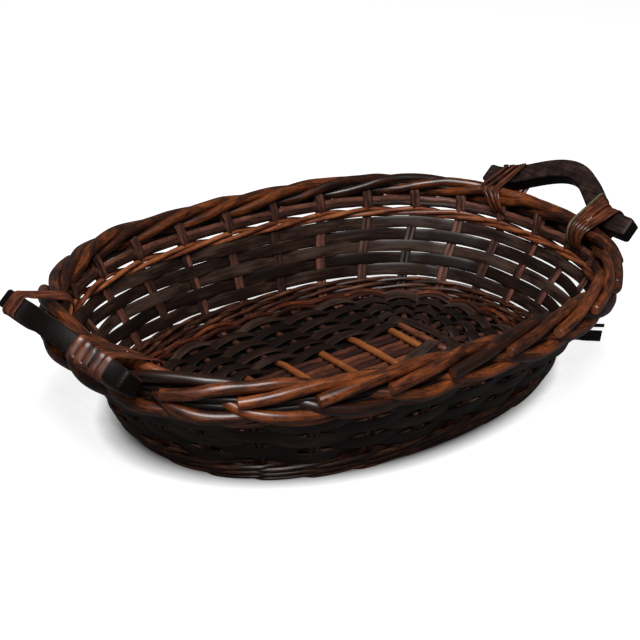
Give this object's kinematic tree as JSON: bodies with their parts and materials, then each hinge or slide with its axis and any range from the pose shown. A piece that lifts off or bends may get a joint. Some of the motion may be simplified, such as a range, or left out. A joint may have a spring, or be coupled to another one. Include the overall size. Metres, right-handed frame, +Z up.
{
  "type": "wicker tray basket",
  "caption": "Shallow oval woven wicker tray with flared sides, a plaited border and a bent wooden handle lashed to the rim at each end.",
  "frame": {"origin": "under the middle of the tray, on the surface that it stands on", "axes": "+X along the tray towards handle_right, +Y across it towards the far side, +Z up"},
  "size_m": [0.478, 0.2978, 0.1109],
  "materials": {
    "stick_willow": "satin stained willow, pinkish brown to orange brown",
    "stake_willow": "satin stained split willow, dull reddish brown",
    "dark_splint": "satin stained flat splint, very dark brown",
    "red_reed": "satin stained round reed, red brown",
    "border_willow": "glossy stained willow with bark, mahogany to orange brown",
    "handle_wood": "satin espresso-stained solid wood",
    "skein": "glossy flat skein, red brown"
  },
  "bodies": {
    "root": {"crossed_sticks": "stick_willow", "stake_01": "stake_willow", "stake_02": "stake_willow", "stake_03": "stake_willow", "stake_04": "stake_willow", "stake_05": "stake_willow", "stake_06": "stake_willow", "stake_07": "stake_willow", "stake_08": "stake_willow", "stake_09": "stake_willow", "stake_10": "stake_willow", "stake_11": "stake_willow", "stake_12": "stake_willow", "stake_13": "stake_willow", "stake_14": "stake_willow", "stake_15": "stake_willow", "stake_16": "stake_willow", "stake_17": "stake_willow", "stake_18": "stake_willow", "stake_19": "stake_willow", "stake_20": "stake_willow", "stake_21": "stake_willow", "stake_22": "stake_willow", "stake_23": "stake_willow", "stake_24": "stake_willow", "stake_25": "stake_willow", "stake_26": "stake_willow", "stake_27": "stake_willow", "stake_28": "stake_willow", "floor_splint_01": "dark_splint", "floor_splint_02": "dark_splint", "floor_splint_03": "dark_splint", "floor_splint_04": "dark_splint", "floor_splint_05": "dark_splint", "floor_splint_06": "dark_splint", "floor_splint_07": "dark_splint", "floor_splint_08": "dark_splint", "wall_splint_01": "dark_splint", "wall_splint_02": "dark_splint", "wall_splint_03": "dark_splint", "wall_splint_04": "dark_splint", "wall_splint_05": "dark_splint", "floor_reed_01": "red_reed", "floor_reed_02": "red_reed", "floor_reed_03": "red_reed", "bend_reed": "red_reed", "upsett_reed_01": "red_reed", "upsett_reed_02": "red_reed", "wale_reed_01": "red_reed", "wale_reed_02": "red_reed", "border_strand_01": "border_willow", "border_strand_02": "border_willow", "border_strand_03": "border_willow", "handle_right": "handle_wood", "handle_left": "handle_wood", "lashing_right_far": "skein", "lashing_right_near": "skein", "lashing_left_far": "skein", "lashing_left_near": "skein"}
  },
  "joints": []
}
